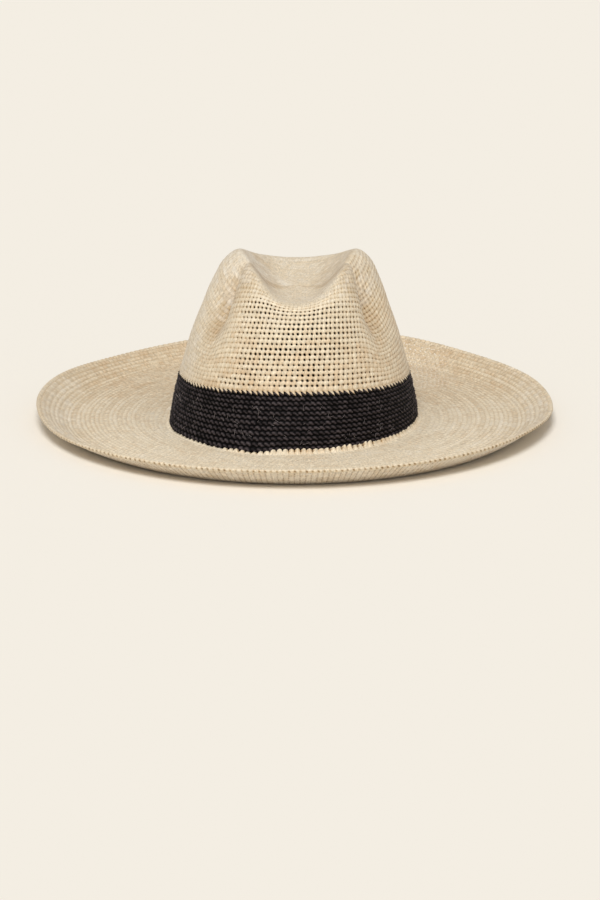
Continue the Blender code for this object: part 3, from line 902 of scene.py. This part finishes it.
# Point over the underside: out from the wall's inner oval by the distance, then up
# along the normal of the profile by the lift.
def brimPoint(turn, distance, lift):
    tiny = 0.0005
    slope = (brimUnder(turn, distance + tiny) - brimUnder(turn, distance - tiny)) / (2 * tiny)
    length = np.sqrt(1 + slope**2)
    reach = distance - lift * slope / length
    return ovalPoint(turn, reach, brimUnder(turn, distance) + lift / length)


# The brim: beads round the corner from the wall, rounds of low rope out to the edge,
# the underside back to the wall and the face that meets the head, as one ring of rows.
def buildBrim():
    straw = block["straw"]
    turnRow = 2 * math.pi * columnAt / stitches
    angle = fromFront(turnRow)
    # beads on the round corner: a quarter of a circle from the wall to the brim. They
    # are plump at the front, small teeth elsewhere, and lie lower at the left front.
    beadSteps = np.array([0.0, 0.12, 0.3, 0.5, 0.7, 0.88])
    steps = beadSteps[:, None]
    corner = steps * 0.5 * math.pi
    lateral = np.repeat(turnRow[None, :], len(beadSteps), axis=0)
    radius = brim["corner"]
    plumpHere = ease(46.0, 34.0, np.abs(angle - 6.0))
    size = np.repeat(chance.uniform(0.6, 1.3, stitches), 4)
    gap = np.repeat(chance.uniform(0.1, 1.1, stitches), 4)
    nextGap = np.roll(gap, -4)
    cut = np.interp(columnStep, [0, 0.2, 0.5, 0.8], [1.0, 0.4, 0.0, 0.0]) * gap
    cut += np.interp(columnStep, [0, 0.2, 0.5, 0.8], [0.0, 0.0, 0.0, 0.35]) * nextGap
    tooth = np.interp(columnStep, [0, 0.2, 0.5, 0.8], [0.0, 0.9, 0.6, 0.3])
    domed = np.interp(columnStep, [0, 0.2, 0.5, 0.8], [0.0, 0.82, 1.0, 0.9])
    scallop = plumpHere * (1 - cut) + (1 - plumpHere) * tooth
    top = plumpHere * brim["beadRise"] * size * domed * (0.4 + 0.6 * scallop)
    top += (1 - plumpHere) * brim["toothRise"] * size * tooth - brim["beadSink"]
    flare = footFlare(turnRow)
    topLift = (1 - steps) ** 2 * (top - brim["sag"] * flare)
    swelling = np.sin(math.pi * np.clip(steps + 0.12, 0, 1)) ** 0.5
    low = 0.25 + 0.6 * ease(0.25, 0.65, steps)
    lift = brim["bead"] * (0.35 + 0.65 * plumpHere) * (swelling * (low + (1 - low) * domed) * size - 0.3)
    out = straw + radius * (1 - np.cos(corner)) + lift * np.cos(corner) + band["flare"] * flare
    height = brim["arch"] + straw + radius * (1 - np.sin(corner)) + topLift + lift * np.sin(corner)
    beads = ovalPoint(lateral, out, height)
    # painted shade in the notches between the beads and low down between them
    notch = 1.1 * cut * plumpHere + 0.3 * (1 - tooth) * (1 - plumpHere)
    beadRelief = 0.9 - notch * ease(0.6, 0.25, steps)
    beadRelief = beadRelief - 0.6 * plumpHere * (1 - domed) * np.exp(-((steps - 0.7) / 0.12) ** 2) * gap

    rounds = brim["rounds"]
    flatFrom = straw + radius
    flatTo = brim["width"] + straw - brim["edgeRound"] + brim["tuck"]
    pitch = (flatTo - flatFrom) / rounds
    rowsAt = np.append((np.arange(rounds)[:, None] + np.arange(4) / 4).ravel(), rounds)
    turn = np.repeat(turnRow[None, :], len(rowsAt), axis=0)
    rope = np.sin(math.pi * (rowsAt % 1.0)[:, None]) ** 0.9
    strong = chance.uniform(0.6, 1.3, rounds + 1)[np.floor(rowsAt - 1e-6).astype(int).clip(0)][:, None]
    ridge = rope * strong * np.ones_like(turn)
    # where the band flares, the first eight rounds give way
    giveWay = band["flare"] * flare * np.clip(1 - rowsAt[:, None] / 8, 0, 1)
    outwards = flatFrom + pitch * rowsAt[:, None] + giveWay
    top = brimPoint(turn, outwards, straw + 0 * turn)
    ends = ease(0.085, 0.13, np.abs(top[..., 0]))
    top = brimPoint(turn, outwards,
                    straw + brim["rope"] * (1 + ends) * (ridge - 0.4))
    # painted shade in the grooves between rounds and at the back and the ends, with a random speckle
    topRelief = brim["topRelief"] + (0.10 + 0.10 * ends) * (ridge - 0.45)
    topRelief -= brim["farShade"] * farShare(top)
    topRelief += chance.uniform(-brim["speckle"], brim["speckle"], ridge.shape) * (1 - 0.5 * ends)

    # underside, from the edge back to the wall
    curlAt = rounds - brim["curlRounds"]
    underAt = np.concatenate([np.linspace(rounds, curlAt, 28), np.linspace(curlAt - 1, 1, 16)])
    underTurn = np.repeat(turnRow[None, :], len(underAt), axis=0)
    underRope = np.sin(math.pi * (underAt % 1.0)[:, None]) ** 0.9
    atEdge = ease(curlAt - 1, curlAt + 3, underAt)[:, None]
    under = brimPoint(underTurn, flatFrom + pitch * underAt[:, None] + 0 * underTurn,
                      brim["rope"] * (1 - underRope) * atEdge + 0 * underTurn)
    # painted shade under the brim, with the curl's ropes a little lighter
    underRelief = brim["underRelief"] + 0.05 * (underRope - 0.5) * atEdge + 0 * underTurn
    # inner corner and the face that meets the head
    bend = np.array([0.0, 0.33, 0.67, 1.0])[:, None] * 0.5 * math.pi
    innerRadius = brim["innerCorner"]
    bendOut = innerRadius * (1 - np.sin(bend)) + 0 * underTurn[:4]
    bendUp = brim["arch"] + innerRadius * (1 - np.cos(bend)) + 0 * underTurn[:4]
    inner = ovalPoint(underTurn[:4], bendOut, bendUp)
    closing = inner[-1:].copy()
    closing[..., 2] = block["bandFoot"]
    grid = np.concatenate([beads, top, under, inner, closing])
    plain = 0 * underTurn[:5]
    relief = np.concatenate([beadRelief + 0 * lateral, topRelief, underRelief, plain + 0.75]).clip(0, 1)
    slit = np.concatenate([0 * lateral, brim["slitTop"] * (1 + ends),
                           brim["slitUnder"] * (0.3 + 0.7 * atEdge) + 0 * underTurn, plain])
    downAll = np.concatenate([beadSteps - 1, rowsAt, underAt, [0.6, 0.3, 0.0, -0.3, -0.9]])
    nextDown = np.roll(downAll, -1)
    middles = np.floor(0.5 * (downAll + nextDown) - 1e-6)
    more = brim["stitchesAtEdge"] - stitches
    count = np.round(stitches + more * np.clip(middles, 0, rounds) / rounds)
    # on the underside of the curl the stitches stand in line with those of the edge
    curled = (np.arange(len(grid)) >= len(beads) + len(top)) & (middles >= curlAt)
    count = np.where(middles < 0, stitches, np.where(curled, brim["stitchesAtEdge"], count))
    phase = (middles * 0.31) % 1.0 * (middles >= 0) * ~curled
    quads = gridQuads(len(grid), len(columnAt), ring=True)
    pattern = gridPattern(downAll, count, phase, columnShare, ring=True)
    points = grid.reshape(-1, 3)
    toneAndShading = brimToneAndShading(points).reshape(relief.shape)
    toneAndShading[len(beads) + len(top):] -= 0.9
    values = {"relief": relief, "stain": stains(points), "toneAndShading": toneAndShading, "slit": slit,
              "light": paintedPinholes(points)}
    piece = meshObject("straw_brim", points, quads, pattern, noFaces, noPattern, values, natural)
    print("brim:", 2 * len(quads), "triangles")
    return piece


# Yellower and darker straw at the back as painted shade behind the crown, paler at the two ends.
def brimToneAndShading(points):
    back = ease(-0.02, 0.10, points[:, 1])
    ends = ease(0.13, 0.17, np.abs(points[:, 0]))
    return 0.2 * back - 0.4 * ends


# Share from 0 to 1 of the back and of the two ends.
def farShare(points):
    return np.maximum(ease(-0.05, 0.09, points[..., 1]), 0.8 * ease(0.11, 0.16, np.abs(points[..., 0])))


# Share of painted pinholes of light at the right back, where the crochet is loose.
def paintedPinholes(points):
    x, y = points[:, 0], points[:, 1]
    loose = ease(0.062, 0.078, x) * ease(0.118, 0.098, x) * ease(0.07, 0.10, y)
    return loose * chance.uniform(0, 1, len(points)) ** 0.4


edgeRound = {
    "stitches": 276,
    "columnsEach": 6,
    "sides": 14,
    "width": 0.0033,
    "thickness": 0.0024,
    "flatness": 0.8,            # 1 is an ellipse, less is squarer
    "swell": 0.00016,           # of each stitch
    "hole": 0.00045,            # depth of the needle holes
    "holeSide": -38.0,          # where they lie round the section, degrees from outwards
    "slit": 0.3,                # strength of the dark slits
}


# Rope round the edge: an oval ring carried along the brim's outline. A cosine along
# the edge swells it at each stitch, and bells sink a hole between each two.
def buildEdgeRound():
    columnCount = edgeRound["stitches"] * edgeRound["columnsEach"]
    share = np.arange(columnCount + 1) / columnCount
    turn = 2 * math.pi * share[:-1]
    width = brim["width"] + block["straw"]
    low = brimPoint(turn, np.full_like(turn, width - brim["edgeRound"]), 0.0 * turn)
    high = brimPoint(turn, np.full_like(turn, width), 0.0 * turn)
    out = high - low
    out /= np.linalg.norm(out, axis=-1, keepdims=True)
    around = np.stack([np.cos(turn), np.sin(turn), 0 * turn], axis=-1)
    up = np.cross(out, around)
    up /= np.linalg.norm(up, axis=-1, keepdims=True)
    middle = 0.5 * (low + high) + 0.5 * block["straw"] * up
    side = np.arange(edgeRound["sides"]) / edgeRound["sides"]
    corner = 2 * math.pi * side[:, None]
    stitchTurn = 2 * math.pi * edgeRound["stitches"] * share[None, :-1]
    size = np.repeat(chance.uniform(0.5, 1.4, edgeRound["stitches"]), edgeRound["columnsEach"])
    hole = 0.5 + 0.5 * np.cos(stitchTurn + 0.8 * np.sin(corner))
    sideways = (np.degrees(corner) - edgeRound["holeSide"] + 180) % 360 - 180
    holes = hole**3 * np.exp(-(sideways / 30.0) ** 2) * size
    grow = edgeRound["swell"] * size * np.cos(stitchTurn + math.pi - corner) - edgeRound["hole"] * holes
    flat = edgeRound["flatness"]
    across = (0.5 * edgeRound["width"] + grow) * np.sign(np.cos(corner)) * np.abs(np.cos(corner)) ** flat
    high = (0.5 * edgeRound["thickness"] + grow) * np.sign(np.sin(corner)) * np.abs(np.sin(corner)) ** flat
    grid = middle[None] + across[..., None] * out[None] + high[..., None] * up[None]
    grid = grid[::-1]
    # painted shade in the needle holes and at the back and the ends
    relief = 0.84 - 0.06 * hole[::-1] - 0.7 * holes[::-1] - 0.5 * brim["farShade"] * farShare(grid)
    relief = relief.clip(0, 1)
    quads = gridQuads(len(grid), columnCount, ring=True)
    count = np.full(len(grid), float(edgeRound["stitches"]))
    pattern = gridPattern(side[::-1] * 3, count, count * 0, share, ring=True)
    values = {"relief": relief, "stain": 0 * relief, "toneAndShading": 0 * relief,
              "slit": 0 * relief + edgeRound["slit"]}
    piece = meshObject("edge_rope", grid.reshape(-1, 3), quads, pattern, noFaces, noPattern,
                       values, natural)
    print("edge round:", 2 * len(quads), "triangles")
    return piece


for piece, node, slot in ((buildCrown(), "crown", "natural_straw"),
                          (buildBand(), "hat_band", "black_straw"),
                          (buildBrim(), "brim", "natural_straw"),
                          (buildEdgeRound(), "edge_round", "natural_straw")):
    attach(piece, "root")
    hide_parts(node)

studio = {
    "pixel": 0.0006975,         # metres of the hat to a pixel of the picture
    "distance": 14.0,           # long lens, nearly parallel view
    "floorReach": 14.0,         # from its middle to each side
    "elevation": 14.7,
    "aim": (0.0038, 0.0, -0.021),
    "paper": "#f4eee3",
    "skyStrength": 0.44,
    "sunStrength": 2.20,
    "sunFrom": (-0.08, -0.75, 1.0),
    "sunAngle": 25.0,
}

# Camera: straight from the front, looking down a little
camera = bpy.data.cameras.new("camera")
camera.lens = 0.5 * camera.sensor_width * studio["distance"] / (450 * studio["pixel"])
cameraObject = bpy.data.objects.new("camera", camera)
bpy.context.scene.collection.objects.link(cameraObject)
rise = math.radians(studio["elevation"])
backwards = Vector((0.0, -math.cos(rise), math.sin(rise)))
cameraObject.location = Vector(studio["aim"]) + studio["distance"] * backwards
cameraObject.rotation_euler = (-backwards).to_track_quat("-Z", "Y").to_euler()
bpy.context.scene.camera = cameraObject

# Pale paper floor
floorMesh = bpy.data.meshes.new("floor")
reach = studio["floorReach"]
corners = [(-reach, -reach, 0), (reach, -reach, 0), (reach, reach, 0), (-reach, reach, 0)]
floorMesh.from_pydata(corners, [], [(0, 1, 2, 3)])
floor = bpy.data.objects.new("floor", floorMesh)
bpy.context.scene.collection.objects.link(floor)
paper = bpy.data.materials.new("matt_paper")
paper.use_nodes = True
paperShader = paper.node_tree.nodes["Principled BSDF"]
paperShader.inputs["Base Color"].default_value = linear(studio["paper"])
paperShader.inputs["Roughness"].default_value = 1.0
paperShader.inputs["Specular IOR Level"].default_value = 0.0
floorMesh.materials.append(paper)

world = bpy.data.worlds.new("studio")
world.use_nodes = True
sky = world.node_tree.nodes["Background"]
sky.inputs["Color"].default_value = (1.0, 1.0, 1.0, 1.0)
sky.inputs["Strength"].default_value = studio["skyStrength"]
bpy.context.scene.world = world
sun = bpy.data.lights.new("soft_key", "SUN")
sun.energy = studio["sunStrength"]
sun.angle = math.radians(studio["sunAngle"])
sunObject = bpy.data.objects.new("soft_key", sun)
sunObject.rotation_euler = Vector(studio["sunFrom"]).to_track_quat("Z", "Y").to_euler()
bpy.context.scene.collection.objects.link(sunObject)
bpy.context.scene.view_settings.view_transform = "Standard"
print("studio: camera, floor and light")
